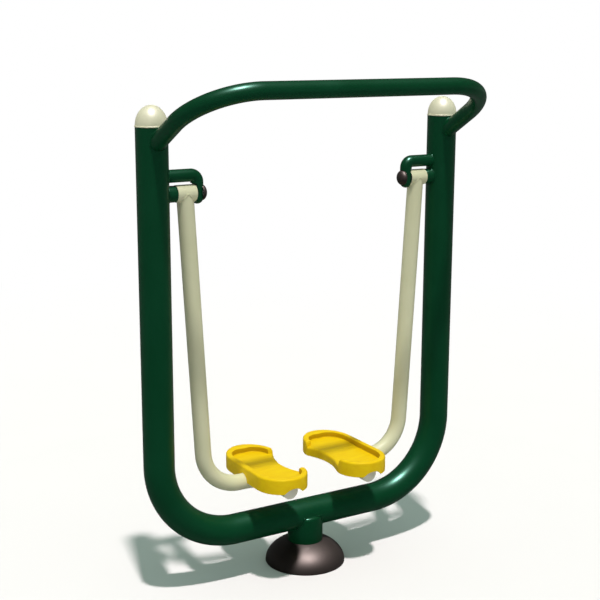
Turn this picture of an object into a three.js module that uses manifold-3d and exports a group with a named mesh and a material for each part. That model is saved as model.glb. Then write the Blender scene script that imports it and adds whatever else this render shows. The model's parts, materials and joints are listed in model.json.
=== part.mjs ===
// Outdoor air walker: two swinging foot pedals under a U-shaped tube frame.
// Millimetres, +Z up. The origin is on the ground under the centre post, +X runs
// along the beam, and the user faces the handlebar, which is on the -Y side.
import * as THREE from 'three'
import { mergeVertices } from 'three/addons/utils/BufferGeometryUtils.js'
import Module from 'manifold-3d'

const wasm = await Module()
wasm.setup()

// Clearances
const fitGap = 0.3
const runningGap = 1
const overrun = 6

// Main frame, a tube bent into a U
const frameRadius = 44.5
const frameWall = 3
const uprightX = 486
const pivotHeight = 1166
const uprightAbovePivot = 184
const uprightTop = pivotHeight + uprightAbovePivot
const beamHeight = 153.5
const frameBend = 240

// Post caps
const capRimOverhang = 1
const capRimHeight = 4
const capDomeInset = 0.5
const capDomeHeight = 54
const capWall = 3
const capSpigotDepth = 22

// Handlebar, a tube with two wide bends that leans up towards the user's front
const barRadius = 24
const barWall = 3
const barRootDrop = 59
const barRootHeight = uprightTop - barRootDrop
const barReach = 284
const barRise = 162
const barInset = 11
const barBend = 181

// Base
const postRadius = 54
const postWall = 4
const postHeadWall = 15.5
const flangeRadius = 100
const flangeThickness = 10
const drainRadius = 10
const drainOffset = 32
const anchorHoleRadius = 7
const anchorEdge = 20
const anchorCount = 4
const coverOverhang = 22.5
const coverRadius = flangeRadius + coverOverhang
const coverHeight = 77
const coverWall = 2.5
const coverLift = 0.5
const gussetThickness = 6
const gussetDrop = 29
const gussetHeight = coverHeight - gussetDrop
const gussetEdge = 8
const gussetReach = flangeRadius - postRadius - gussetEdge
const gussetToe = 8

// Swing arm tube, whose width sets the length of its hub
const armRadius = 24
const armWall = 3
const hubOverhang = 5

// Pivot
const hubInset = 95
const hubX = uprightX - hubInset
const hubLength = 2 * (armRadius + hubOverhang)
const hubRadius = 24
const hubWall = 3
const hubShoulder = 2
const bearingWidth = 12
const bearingInset = 2
const axleRadius = 10
const innerRaceWall = 4
const bearingSplitRadius = axleRadius + innerRaceWall
const sleeveWall = 3.4
const sleeveRadius = axleRadius + sleeveWall
const axleRoot = 5.5
const threadStep = 2
const threadRadius = axleRadius - threadStep
const stubRadius = 23
const swingLimit = 55
const stopPinRadius = 4
const stopPinClearance = 0.6
const stopPinReach = hubRadius - hubWall - hubShoulder - stopPinClearance
const stopPinTail = 9
const stopLugClearance = 1.8
const stopLugRadius = sleeveRadius + stopLugClearance
const stopLugWidth = 12

// Elbow that carries the inner end of each axle
const elbowRadius = 18
const elbowWall = 3
const elbowOverHub = 7
const elbowRise = hubRadius + elbowRadius + elbowOverHub
const elbowFaceOutset = 7
const elbowBendInside = 1
const elbowTail = 13
const elbowFaceInset = 10
const elbowHubClearance = 3
const nutAcross = 24
const nutHeight = 5.5
const nutFlangeRadius = 15
const nutFlangeThickness = 2
const threadEnd = 1.4
const nutCapRadius = 23
const nutCapHeight = 17
const nutCapRim = 3
const nutCapWall = 2

// Swing arms, whose bends follow the run between the arm and its pedal
const armSplay = 50.5
const armFootX = hubX - armSplay
const armFootHeight = 297.5
const armOuterBendShare = 0.5665
const armInnerBendShare = 0.3547
const armEndY = -145
const plugFace = 3
const plugDepth = 14
const plugWall = 2.5

// Pedals
const pedalX = 137.5
const skirtLift = 1
const pedalBottom = armFootHeight + skirtLift
const treadOverArm = 3.5
const toeTread = armFootHeight + armRadius + treadOverArm
const heelStep = 4.5
const heelTread = toeTread + heelStep
const rimHeight = 19
const pedalTop = toeTread + rimHeight
const toeCentre = { across: 1, along: -85 }
const toeHalf = { across: 79, along: 84 }
const heelCentre = { across: 0, along: 80 }
const heelHalf = { across: 78, along: 98 }
const archRimLap = { toe: 13, heel: 12 }
const archRimEnd = {
  toe: toeCentre.along - archRimLap.toe, heel: heelCentre.along + archRimLap.heel,
}
const stepAlong = 28
const stepRun = 24
const rimWidth = 17
const rimRound = 6
const rimChamfer = 5
const rimRoof = 4
const treadWall = 3
const skirtWall = 3.5
const archArmRoom = 27.5
const archSag = toeHalf.across - toeCentre.across - skirtWall - armRadius - archArmRoom
const archReach = archSag + rimWidth
const toeNotchRadius = 38
const toeNotchLift = 4
const bossRadius = 9
const bossBore = 4.3
const bossSkin = 3
const ribThickness = 3
const ribDepth = 8
const ribPitch = 50

// Brackets between an arm and its pedal, and the bolts through them
const bracketTop = armFootHeight + armRadius / 2
const bracketThickness = 5
const boltRadius = 4
const boltHeadAcross = 13
const boltHeadHeight = 5
const boltEndGap = 1.8
const bracketReach = 21
const bracketSide = {
  inner: -armRadius - bracketReach, outer: 46, toe: -118, heel: 120, waist: 13,
}
const toeBracketSide = { inner: 16, outer: 66, toe: -116, heel: -58 }
const heelBoltAcross = 27
const heelBoltAlong = 96
const archBoltEdge = 10
const archBoltAcross = bracketSide.inner + archBoltEdge
const archBoltAlong = -60
const toeBoltAcross = 47
const toeBoltAlong = -88

// Facets
const wideSides = 24
const tubeSides = 16
const capSides = 16
const axleSides = 12
const smallSides = 8
const bendSteps = 8
const shortBendSteps = 5
const shellSteps = 3
const footprintSteps = 10
const archSteps = 5

// Finishes
function finish(colour, roughness, metalness) {
  return () => new THREE.MeshStandardMaterial({ color: colour, roughness, metalness })
}
const greenPaint = finish(0x004524, 0.3, 0)
const creamPaint = finish(0xd9d7b0, 0.4, 0)
const creamPlastic = finish(0xe9e6c9, 0.35, 0)
const yellowPlastic = finish(0xf5cf16, 0.45, 0)
const darkPlastic = finish(0x2b2422, 0.3, 0)
const greyPlastic = finish(0xbdbdb4, 0.5, 0)
const zincSteel = finish(0xa9adb0, 0.4, 1)
const bearingSteel = finish(0x8c8f92, 0.25, 1)

const group = new THREE.Group()

// Turns a closed three.js geometry into a solid that can be cut and joined
function solid(geometry) {
  const bare = geometry.index ? geometry.toNonIndexed() : geometry.clone()
  bare.deleteAttribute('normal')
  bare.deleteAttribute('uv')
  const merged = mergeVertices(bare)
  const corners = Array.from(merged.index.array)
  const triVerts = []
  for (let i = 0; i < corners.length; i += 3) {
    const [a, b, c] = corners.slice(i, i + 3)
    if (a !== b && b !== c && c !== a) triVerts.push(a, b, c)
  }
  return new wasm.Manifold(new wasm.Mesh({
    numProp: 3,
    vertProperties: new Float32Array(merged.attributes.position.array),
    triVerts: new Uint32Array(triVerts),
  }))
}

function geometryOf(body) {
  const mesh = body.getMesh()
  const geometry = new THREE.BufferGeometry()
  geometry.setAttribute('position', new THREE.BufferAttribute(mesh.vertProperties, mesh.numProp))
  geometry.setIndex(new THREE.BufferAttribute(mesh.triVerts, 1))
  geometry.computeVertexNormals()
  return geometry
}

function cut(body, ...tools) {
  return tools.reduce((rest, tool) => rest.subtract(tool), body)
}

function join(body, ...others) {
  return others.reduce((whole, other) => whole.add(other), body)
}

// The same shape on the other side of the plane between the two uprights
function mirrored(geometry) {
  const copy = geometry.index ? geometry.toNonIndexed() : geometry.clone()
  copy.scale(-1, 1, 1)
  const positions = copy.attributes.position
  const first = new THREE.Vector3()
  const last = new THREE.Vector3()
  for (let corner = 0; corner < positions.count; corner += 3) {
    first.fromBufferAttribute(positions, corner)
    last.fromBufferAttribute(positions, corner + 2)
    positions.setXYZ(corner, last.x, last.y, last.z)
    positions.setXYZ(corner + 2, first.x, first.y, first.z)
  }
  copy.computeVertexNormals()
  return copy
}

function place(name, body, material) {
  const geometry = body.isBufferGeometry ? body : geometryOf(body)
  const mesh = new THREE.Mesh(geometry, material())
  mesh.name = name
  group.add(mesh)
}

// The right-hand piece and its mirror image on the left
function placePair(name, body, material) {
  const geometry = body.isBufferGeometry ? body : geometryOf(body)
  place(`right_${name}`, geometry, material)
  place(`left_${name}`, mirrored(geometry), material)
}

// The centre line of a bent tube: straight runs with an arc at each corner
class BentAxis extends THREE.Curve {
  constructor(corners, bends, steps) {
    super()
    this.stations = []
    corners.forEach((corner, i) => {
      if (i === 0 || i === corners.length - 1) {
        const [from, to] = i === 0 ? [corner, corners[1]] : [corners[i - 1], corner]
        this.stations.push({ point: corner, tangent: to.clone().sub(from).normalize() })
        return
      }
      const arriving = corner.clone().sub(corners[i - 1]).normalize()
      const leaving = corners[i + 1].clone().sub(corner).normalize()
      const turn = arriving.angleTo(leaving)
      const start = corner.clone().addScaledVector(arriving, -bends[i - 1] * Math.tan(turn / 2))
      const inward = leaving.clone().addScaledVector(arriving, -leaving.dot(arriving)).normalize()
      for (let step = 0; step <= steps[i - 1]; step++) {
        const angle = turn * step / steps[i - 1]
        const point = start.clone().addScaledVector(arriving, bends[i - 1] * Math.sin(angle))
        point.addScaledVector(inward, bends[i - 1] * (1 - Math.cos(angle)))
        const tangent = arriving.clone().multiplyScalar(Math.cos(angle))
        tangent.addScaledVector(inward, Math.sin(angle))
        this.stations.push({ point, tangent })
      }
    })
    this.runs = this.stations.length - 1
  }

  station(share) {
    return this.stations[Math.round(share * this.runs)]
  }

  getPoint(share) {
    return this.station(share).point.clone()
  }

  getPointAt(share) {
    return this.getPoint(share)
  }

  getTangent(share) {
    return this.station(share).tangent.clone()
  }

  getTangentAt(share) {
    return this.getTangent(share)
  }
}

function circle(radius, sides, x = 0, y = 0) {
  const corners = []
  for (let i = 0; i < sides; i++) {
    const angle = 2 * Math.PI * i / sides
    corners.push(new THREE.Vector2(x + radius * Math.cos(angle), y + radius * Math.sin(angle)))
  }
  return corners
}

function ring(outer, inner, sides, boreSides = sides) {
  const shape = new THREE.Shape(circle(outer, sides))
  if (inner) shape.holes.push(new THREE.Path(circle(inner, boreSides)))
  return shape
}

// The corner radius of a many-sided bar whose flat sides touch the true circle
function roundTrue(radius, sides) {
  return radius / Math.cos(Math.PI / sides)
}

function sweep(axis, outer, sides) {
  return new THREE.ExtrudeGeometry(ring(outer, 0, sides), {
    steps: axis.runs, extrudePath: axis, bevelEnabled: false,
  })
}

// A tube whose bore has half as many sides, laid round the true bore
function sweepTube(axis, outer, wall, sides) {
  const bore = roundTrue(outer - wall, sides / 2)
  return new THREE.ExtrudeGeometry(ring(outer, bore, sides, sides / 2), {
    steps: axis.runs, extrudePath: axis, bevelEnabled: false,
  })
}

function straight(from, to) {
  return new BentAxis([from, to], [], [])
}

function point(x, y, z) {
  return new THREE.Vector3(x, y, z)
}

// A bar between two places, for pieces and for the holes that they pass through
function rod(from, to, radius, sides) {
  return sweep(straight(from, to), radius, sides)
}

function onAxle(from, to, radius, sides = axleSides) {
  return rod(point(from, 0, pivotHeight), point(to, 0, pivotHeight), radius, sides)
}

// A bushing on the axle, with room for the axle or a larger bore
function bush(from, to, radius, sides = axleSides, bore = axleClearance) {
  const axis = straight(point(from, 0, pivotHeight), point(to, 0, pivotHeight))
  return new THREE.ExtrudeGeometry(ring(radius, bore, sides, axleSides), {
    steps: axis.runs, extrudePath: axis, bevelEnabled: false,
  })
}

// A profile of radius and height turned about Z, then about X for what sits on the axle
function turned(profile, sides) {
  const points = profile.map(([radius, height]) => new THREE.Vector2(radius, height))
  const geometry = new THREE.LatheGeometry(points, sides)
  geometry.rotateX(Math.PI / 2)
  return geometry
}

function turnedOnAxle(profile, sides) {
  const geometry = turned(profile, sides)
  geometry.rotateY(Math.PI / 2)
  geometry.translate(0, 0, pivotHeight)
  return geometry
}

// A flat outline in X and Y, raised from one height to another
function slab(shape, from, to) {
  const geometry = new THREE.ExtrudeGeometry(shape, { depth: to - from, bevelEnabled: false })
  geometry.translate(0, 0, from)
  return geometry
}

function outline(corners) {
  return new THREE.Shape(corners.map(([x, y]) => new THREE.Vector2(x, y)))
}

function box(x0, x1, y0, y1, z0, z1) {
  return slab(outline([[x0, y0], [x1, y0], [x1, y1], [x0, y1]]), z0, z1)
}

// Sizes and cutters that several pieces share
const axleClearance = axleRadius + fitGap
const uprightClearance = solid(rod(
  point(uprightX, 0, beamHeight), point(uprightX, 0, uprightTop + overrun),
  frameRadius + fitGap, wideSides))
const stubFaceX = hubX + hubLength / 2 + runningGap
const elbowFaceX = hubX - hubLength / 2 - runningGap
const elbowLegX = elbowFaceX - elbowFaceOutset
const nutFaceX = elbowLegX - elbowFaceInset
const pedalBolts = [
  { across: -heelBoltAcross, along: heelBoltAlong },
  { across: heelBoltAcross, along: heelBoltAlong },
  { across: archBoltAcross, along: archBoltAlong },
  { across: toeBoltAcross, along: toeBoltAlong },
]

function mainFrame() {
  const axis = new BentAxis([
    point(-uprightX, 0, uprightTop), point(-uprightX, 0, beamHeight),
    point(uprightX, 0, beamHeight), point(uprightX, 0, uprightTop),
  ], [frameBend, frameBend], [bendSteps, bendSteps])
  const tube = solid(sweepTube(axis, frameRadius, frameWall, wideSides))
  const holeFrom = uprightX - frameRadius - overrun
  const right = solid(onAxle(holeFrom, uprightX, axleClearance))
  const left = solid(onAxle(-uprightX, -holeFrom, axleClearance))
  place('main_frame_tube', cut(tube, right, left), greenPaint)
}

function postCaps() {
  const seat = uprightTop + fitGap
  const rimTop = seat + capRimHeight
  const spigot = frameRadius - frameWall - fitGap
  const capDomeRadius = frameRadius - capDomeInset
  const capRimRadius = frameRadius + capRimOverhang
  const profile = []
  for (let step = 0; step <= bendSteps; step++) {
    const angle = Math.PI / 2 * (1 - step / bendSteps)
    profile.push([capDomeRadius * Math.cos(angle), rimTop + capDomeHeight * Math.sin(angle)])
  }
  profile[0][0] = 0
  profile.push([capRimRadius, rimTop], [capRimRadius, seat], [spigot, seat], [spigot, seat - capSpigotDepth])
  profile.push([spigot - capWall, seat - capSpigotDepth])
  for (let step = shellSteps; step >= 0; step--) {
    const angle = Math.PI / 2 * (1 - step / shellSteps)
    profile.push([
      (spigot - capWall) * Math.cos(angle), rimTop + (capDomeHeight - capWall) * Math.sin(angle),
    ])
  }
  profile[profile.length - 1][0] = 0
  const cap = turned(profile.reverse(), tubeSides)
  cap.translate(uprightX, 0, 0)
  placePair('post_cap', solid(cap), creamPlastic)
}

function handlebar() {
  const barCornerX = uprightX - barInset
  const barTopHeight = barRootHeight + barRise
  const axis = new BentAxis([
    point(-uprightX, 0, barRootHeight), point(-barCornerX, -barReach, barTopHeight),
    point(barCornerX, -barReach, barTopHeight), point(uprightX, 0, barRootHeight),
  ], [barBend, barBend], [bendSteps, bendSteps])
  const tube = solid(sweepTube(axis, barRadius, barWall, tubeSides))
  const leftClearance = solid(mirrored(geometryOf(uprightClearance)))
  place('handlebar', cut(tube, uprightClearance, leftClearance), greenPaint)
}

function base() {
  const anchorStep = 2 * Math.PI / anchorCount
  const anchorCircleRadius = flangeRadius - anchorEdge
  const plate = ring(flangeRadius, 0, wideSides)
  plate.holes.push(new THREE.Path(circle(drainRadius, smallSides, 0, drainOffset)))
  for (let i = 0; i < anchorCount; i++) {
    const angle = (i + 1 / 2) * anchorStep
    const x = anchorCircleRadius * Math.cos(angle)
    const y = anchorCircleRadius * Math.sin(angle)
    plate.holes.push(new THREE.Path(circle(anchorHoleRadius, smallSides, x, y)))
  }
  place('base_flange', solid(slab(plate, 0, flangeThickness)), greenPaint)

  const foot = flangeThickness + fitGap
  const postHeadBase = beamHeight - frameRadius - postHeadWall
  const beamClearance = solid(rod(
    point(-postRadius - overrun, 0, beamHeight), point(postRadius + overrun, 0, beamHeight),
    frameRadius + fitGap, wideSides))
  const post = solid(turned([
    [postRadius - postWall, foot], [postRadius, foot], [postRadius, beamHeight], [0, beamHeight],
    [0, postHeadBase], [postRadius - postWall, postHeadBase], [postRadius - postWall, foot],
  ], wideSides))
  place('base_post', cut(post, beamClearance), greenPaint)

  const postSkin = postRadius + fitGap
  for (let i = 0; i < anchorCount; i++) {
    const gusset = new THREE.ExtrudeGeometry(outline([
      [postSkin, foot], [postSkin + gussetReach, foot], [postSkin + gussetReach, foot + gussetToe],
      [postSkin + gussetToe, foot + gussetHeight], [postSkin, foot + gussetHeight],
    ]), { depth: gussetThickness, bevelEnabled: false })
    gusset.rotateX(Math.PI / 2)
    gusset.translate(0, gussetThickness / 2, 0)
    gusset.rotateZ(i * anchorStep)
    place(`base_gusset_${i + 1}`, solid(gusset), greenPaint)
  }

  const collar = postRadius + fitGap
  const profile = []
  const shell = (radius, height, steps, from, to) => {
    const top = Math.acos(collar / radius)
    for (let step = 0; step <= steps; step++) {
      const angle = top * (from + (to - from) * step / steps)
      profile.push([radius * Math.cos(angle), coverLift + height * Math.sin(angle)])
    }
  }
  shell(coverRadius - coverWall, coverHeight - coverWall, shellSteps, 1, 0)
  shell(coverRadius, coverHeight, bendSteps, 0, 1)
  profile.push(profile[0])
  place('base_dome_cover', solid(turned(profile, wideSides)), darkPlastic)
}

function stub() {
  const body = solid(bush(stubFaceX, uprightX, stubRadius, tubeSides))
  placePair('pivot_stub', cut(body, uprightClearance), greenPaint)
}

function elbow() {
  const top = pivotHeight + elbowRise
  const tail = pivotHeight - elbowTail
  const solidFrom = pivotHeight + hubRadius
  const corners = [point(uprightX, 0, top), point(elbowLegX, 0, top)]
  const steps = [shortBendSteps]
  const elbowBend = elbowRadius + elbowBendInside
  const outer = new BentAxis([...corners, point(elbowLegX, 0, tail)], [elbowBend], steps)
  const inner = new BentAxis([...corners, point(elbowLegX, 0, solidFrom)], [elbowBend], steps)
  const tip = new THREE.SphereGeometry(elbowRadius, capSides, capSides / 2)
  tip.rotateX(Math.PI / 2)
  tip.translate(elbowLegX, 0, tail)
  const body = join(solid(sweep(outer, elbowRadius, capSides)), solid(tip))
  const hollow = solid(sweep(inner, elbowRadius - elbowWall, capSides / 2))
  const hubSide = solid(box(
    elbowFaceX, elbowLegX + elbowRadius + overrun, -elbowRadius - overrun, elbowRadius + overrun,
    tail - elbowRadius - overrun, pivotHeight + hubRadius + elbowHubClearance))
  const nutSide = solid(onAxle(
    elbowLegX - elbowRadius - overrun, nutFaceX, nutCapRadius + runningGap, tubeSides))
  const axleHole = solid(onAxle(nutFaceX - overrun, elbowFaceX + overrun, axleClearance))
  placePair('pivot_elbow', cut(body, hollow, uprightClearance, hubSide, nutSide, axleHole), greenPaint)
}

function axle() {
  const root = uprightX - frameRadius + axleRoot
  const threadStart = nutFaceX + threadEnd
  const tip = nutFaceX - fitGap - nutFlangeThickness - nutHeight - threadEnd
  const upright = (from, to, radius) => solid(rod(
    point(hubX, 0, pivotHeight + from), point(hubX, 0, pivotHeight + to), radius, smallSides))
  const pinRoom = stopPinRadius + fitGap
  const shaft = join(
    solid(onAxle(threadStart, root, axleRadius)), solid(onAxle(tip, threadStart + overrun, threadRadius)))
  const pinHole = upright(-axleRadius - overrun, axleRadius + overrun, pinRoom)
  placePair('pivot_axle', cut(shaft, pinHole), zincSteel)
  placePair('stop_pin', upright(-stopPinTail, stopPinReach, stopPinRadius), zincSteel)

  const reach = hubLength / 2 - bearingInset - bearingWidth - fitGap
  const sleeve = solid(bush(hubX - reach, hubX + reach, sleeveRadius))
  const sleeveHole = upright(0, sleeveRadius + overrun, pinRoom)
  placePair('bearing_sleeve', cut(sleeve, sleeveHole), zincSteel)
}

// Two sealed bearings in the hub, whose inner races reach the stub and the elbow
function bearings() {
  const seat = hubRadius - hubWall - fitGap
  const half = hubLength / 2 - bearingInset
  const shellBore = roundTrue(bearingSplitRadius + fitGap, axleSides)
  const sides = [
    { side: 'outer', from: hubX + half - bearingWidth, to: hubX + half, reach: stubFaceX - fitGap },
    { side: 'inner', from: hubX - half + bearingWidth, to: hubX - half, reach: elbowFaceX + fitGap },
  ]
  for (const { side, from, to, reach } of sides) {
    const race = bush(Math.min(from, reach), Math.max(from, reach), bearingSplitRadius)
    placePair(`${side}_inner_race`, solid(race), bearingSteel)
    const shell = bush(Math.min(from, to), Math.max(from, to), seat, axleSides, shellBore)
    placePair(`${side}_outer_race`, solid(shell), bearingSteel)
  }
}

function nuts() {
  const flangeEnd = nutFaceX - fitGap - nutFlangeThickness
  const flange = solid(onAxle(flangeEnd, nutFaceX - fitGap, nutFlangeRadius))
  const hexCorner = nutAcross / Math.sqrt(3)
  const hexagon = solid(onAxle(flangeEnd - nutHeight, flangeEnd + nutFlangeThickness / 2, hexCorner, 6))
  const bore = solid(onAxle(flangeEnd - nutHeight - overrun, nutFaceX + overrun, threadRadius + fitGap))
  placePair('axle_nut', cut(join(flange, hexagon), bore), zincSteel)

  const profile = [[nutCapRadius - nutCapWall, 0], [nutCapRadius, 0]]
  for (let step = 0; step <= shortBendSteps; step++) {
    const angle = Math.PI / 2 * step / shortBendSteps
    const height = nutCapRim + (nutCapHeight - nutCapRim) * Math.sin(angle)
    profile.push([nutCapRadius * Math.cos(angle), height])
  }
  profile[profile.length - 1][0] = 0
  for (let step = shellSteps; step >= 0; step--) {
    const angle = Math.PI / 2 * step / shellSteps
    const height = nutCapRim + (nutCapHeight - nutCapRim - nutCapWall) * Math.sin(angle)
    profile.push([(nutCapRadius - nutCapWall) * Math.cos(angle), height])
  }
  profile[profile.length - shellSteps - 1][0] = 0
  profile.push(profile[0])
  const cap = turnedOnAxle(profile, capSides)
  cap.rotateZ(Math.PI)
  cap.translate(nutFaceX - fitGap, 0, 0)
  placePair('nut_cap', solid(cap), darkPlastic)
}

function hub() {
  const half = hubLength / 2
  const seat = roundTrue(hubRadius - hubWall, tubeSides)
  const waist = half - bearingInset - bearingWidth
  const profile = [
    [seat, -half], [hubRadius, -half], [hubRadius, half], [seat, half], [seat, waist],
    [seat - hubShoulder, waist], [seat - hubShoulder, -waist], [seat, -waist], [seat, -half],
  ]
  const sleeve = turnedOnAxle(profile, tubeSides)
  sleeve.translate(hubX, 0, 0)

  // The lug is a ring with a window at the top, where the pin of the axle travels
  const pinAngle = Math.asin((stopPinRadius + fitGap) / stopLugRadius)
  const window = THREE.MathUtils.degToRad(swingLimit) + pinAngle
  const lugShape = new THREE.Shape()
  const outerEdge = hubRadius - hubWall / 2
  lugShape.absarc(0, 0, outerEdge, Math.PI / 2 + window, Math.PI * 5 / 2 - window)
  lugShape.absarc(0, 0, stopLugRadius, Math.PI * 5 / 2 - window, Math.PI / 2 + window, true)
  const lug = new THREE.ExtrudeGeometry(lugShape, {
    depth: stopLugWidth, bevelEnabled: false, curveSegments: axleSides / 2,
  })
  lug.rotateX(Math.PI / 2)
  lug.rotateZ(Math.PI / 2)
  lug.translate(hubX - stopLugWidth / 2, 0, pivotHeight)
  placePair('hub_sleeve', join(solid(sleeve), solid(lug)), creamPaint)
}

// The arm hangs from the hub, turns in under the pedal and ends forward of it
function armAxis() {
  const run = armFootX - pedalX
  return new BentAxis([
    point(hubX, 0, pivotHeight), point(armFootX, 0, armFootHeight),
    point(pedalX, 0, armFootHeight), point(pedalX, armEndY + plugFace, armFootHeight),
  ], [run * armOuterBendShare, run * armInnerBendShare], [bendSteps, shortBendSteps])
}

function arm() {
  const tube = solid(sweepTube(armAxis(), armRadius, armWall, tubeSides))
  const hubClearance = solid(onAxle(
    hubX - hubLength / 2 - overrun, hubX + hubLength / 2 + overrun,
    roundTrue(hubRadius + fitGap, tubeSides), tubeSides))
  placePair('swing_arm', cut(tube, hubClearance), creamPaint)

  const face = armEndY + plugFace - fitGap
  const collar = armRadius - armWall - fitGap
  const alongFoot = (from, to, radius) => solid(rod(
    point(pedalX, from, armFootHeight), point(pedalX, to, armFootHeight), radius, tubeSides))
  const plug = join(
    alongFoot(armEndY, face, armRadius), alongFoot(face - plugFace / 2, face + plugDepth, collar))
  const hollow = alongFoot(face, face + plugDepth + overrun, collar - plugWall)
  placePair('arm_end_plug', cut(plug, hollow), greyPlastic)
}

// The outline of a pedal seen from above, drawn in from its outer edge by an inset
function footprint(inset) {
  const corners = []
  const bend = (x, y, halfX, halfY, from, to, steps) => {
    for (let step = 0; step <= steps; step++) {
      const angle = from + (to - from) * step / steps
      const corner = new THREE.Vector2(x + halfX * Math.cos(angle), y + halfY * Math.sin(angle))
      if (!corners.some((other) => other.distanceTo(corner) < fitGap)) corners.push(corner)
    }
  }
  const heelTurn = Math.asin((archRimEnd.heel - heelCentre.along) / heelHalf.along)
  bend(toeCentre.across, toeCentre.along, toeHalf.across - inset, toeHalf.along - inset,
    Math.PI, 2 * Math.PI, footprintSteps)
  bend(heelCentre.across, heelCentre.along, heelHalf.across - inset, heelHalf.along - inset,
    0, Math.PI - heelTurn, footprintSteps)

  // The arch bends into the inner side, from the end of the heel's rim to the widest toe
  const halfSpan = (archRimEnd.heel - toeCentre.along) / 2
  const archMiddle = (archRimEnd.heel + toeCentre.along) / 2
  const archRadius = (halfSpan ** 2 + archSag ** 2) / (2 * archSag)
  const side = toeCentre.across - toeHalf.across
  const reach = archRadius + inset
  const spreadTo = (along) => Math.asin((along - archMiddle) / reach)
  bend(side + archSag - archRadius, archMiddle, reach, reach,
    spreadTo(corners[corners.length - 1].y), spreadTo(toeCentre.along), archSteps)
  return new THREE.Shape(corners)
}

function pedalSlab(inset, from, to) {
  const geometry = slab(footprint(inset), from, to)
  geometry.translate(pedalX, 0, 0)
  return solid(geometry)
}

function bossAt({ across, along }, from, to, radius) {
  return solid(rod(
    point(pedalX + across, along, from), point(pedalX + across, along, to), radius, smallSides))
}

function treadAt(along) {
  return along > stepAlong ? heelTread : toeTread
}

function armClearance() {
  return solid(sweep(armAxis(), armRadius + fitGap, tubeSides))
}

// A block across the whole pedal behind the step, sloped where it meets the toe end
function heelWedge(low, high) {
  const back = heelCentre.along + heelHalf.along + overrun
  const shape = outline([
    [stepAlong - stepRun / 2, low], [back, low], [back, high], [stepAlong + stepRun / 2, high],
    [stepAlong - stepRun / 2, Math.max(low, high - heelTread + toeTread)],
  ])
  const width = toeHalf.across + overrun
  const geometry = new THREE.ExtrudeGeometry(shape, { depth: 2 * width, bevelEnabled: false })
  geometry.rotateX(Math.PI / 2)
  geometry.rotateZ(Math.PI / 2)
  geometry.translate(pedalX - width, 0, 0)
  return solid(geometry)
}

// The moulded shell: a skirt, a hollow rim that is rounded on top, and the tread inside it
function pedalShell() {
  const low = pedalBottom - rimRound
  const blank = new THREE.ExtrudeGeometry(footprint(0), {
    depth: pedalTop - low - 2 * rimRound,
    bevelThickness: rimRound, bevelSize: rimRound, bevelOffset: -rimRound, bevelSegments: 2,
  })
  blank.translate(pedalX, 0, low + rimRound)
  const width = toeHalf.across + overrun
  const length = heelCentre.along + heelHalf.along + overrun
  const below = solid(box(pedalX - width, pedalX + width, -length, length, low - overrun, pedalBottom))
  const outside = cut(solid(blank), below)

  // Above the tread the inside is open, wider at the top by the chamfer of the rim
  const mouth = new THREE.ExtrudeGeometry(footprint(rimWidth), {
    depth: overrun, bevelThickness: rimChamfer, bevelSize: rimChamfer, bevelSegments: 1,
  })
  mouth.translate(pedalX, 0, pedalTop)
  const open = join(pedalSlab(rimWidth, toeTread, pedalTop), solid(mouth))

  // The rim ends on both sides of the arch, and its hollow is closed there
  const archSide = pedalX + toeCentre.across - toeHalf.across
  const gateBetween = (toe, heel, from) => solid(box(
    archSide - overrun, archSide + archReach, toe, heel, from, pedalTop + overrun))
  const { toe, heel } = archRimEnd
  const gate = gateBetween(toe, heel, toeTread)
  const gateWalls = gateBetween(toe - skirtWall, heel + skirtWall, toeTread - treadWall)
  const hollow = join(
    pedalSlab(skirtWall, pedalBottom - overrun, toeTread - treadWall),
    cut(pedalSlab(skirtWall, toeTread - treadWall, pedalTop - rimRoof),
      pedalSlab(rimWidth - skirtWall, toeTread - treadWall - overrun, pedalTop), gateWalls))

  // The tread steps up to the heel, and so does its underside
  const toeUnder = toeTread - treadWall
  const heelFloor = pedalSlab(0, toeUnder, heelTread).intersect(heelWedge(toeUnder, heelTread))
  const heelRoom = pedalSlab(rimWidth, toeUnder - overrun, heelTread - treadWall)
    .intersect(heelWedge(toeUnder - overrun, heelTread - treadWall))
  return cut(join(cut(outside, open, gate, hollow), heelFloor.intersect(outside)), heelRoom)
}

function pedal() {
  const bossFoot = bracketTop + fitGap
  let shell = pedalShell()

  // Ribs across the underside, and a boss for each bolt
  const under = toeTread - treadWall
  const bonded = toeTread - treadWall / 2
  const within = pedalSlab(skirtWall / 2, pedalBottom, bonded)
  const width = toeHalf.across + overrun
  const first = Math.ceil((toeCentre.along - toeHalf.along) / ribPitch)
  const last = Math.floor((heelCentre.along + heelHalf.along) / ribPitch)
  for (let i = first; i <= last; i++) {
    const top = i * ribPitch > stepAlong ? bonded + heelTread - toeTread : bonded
    const rib = box(
      pedalX - width, pedalX + width, i * ribPitch - ribThickness / 2, i * ribPitch + ribThickness / 2,
      under - ribDepth, top)
    shell = join(shell, solid(rib).intersect(within))
  }
  for (const bolt of pedalBolts) {
    shell = join(shell, bossAt(bolt, bossFoot, treadAt(bolt.along) - treadWall / 2, bossRadius))
  }
  for (const bolt of pedalBolts) {
    shell = cut(shell, bossAt(bolt, bossFoot - overrun, treadAt(bolt.along) - bossSkin, bossBore))
  }

  // Room for the arm at the outer side, and a notch in the skirt before its end
  const toeFront = toeCentre.along - toeHalf.along
  const notchHeight = bracketTop + toeNotchLift - toeNotchRadius
  const toeNotch = solid(rod(
    point(pedalX, toeFront - overrun, notchHeight), point(pedalX, toeFront + rimWidth, notchHeight),
    toeNotchRadius, wideSides))
  placePair('pedal', cut(shell, armClearance(), toeNotch), yellowPlastic)
}

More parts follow.
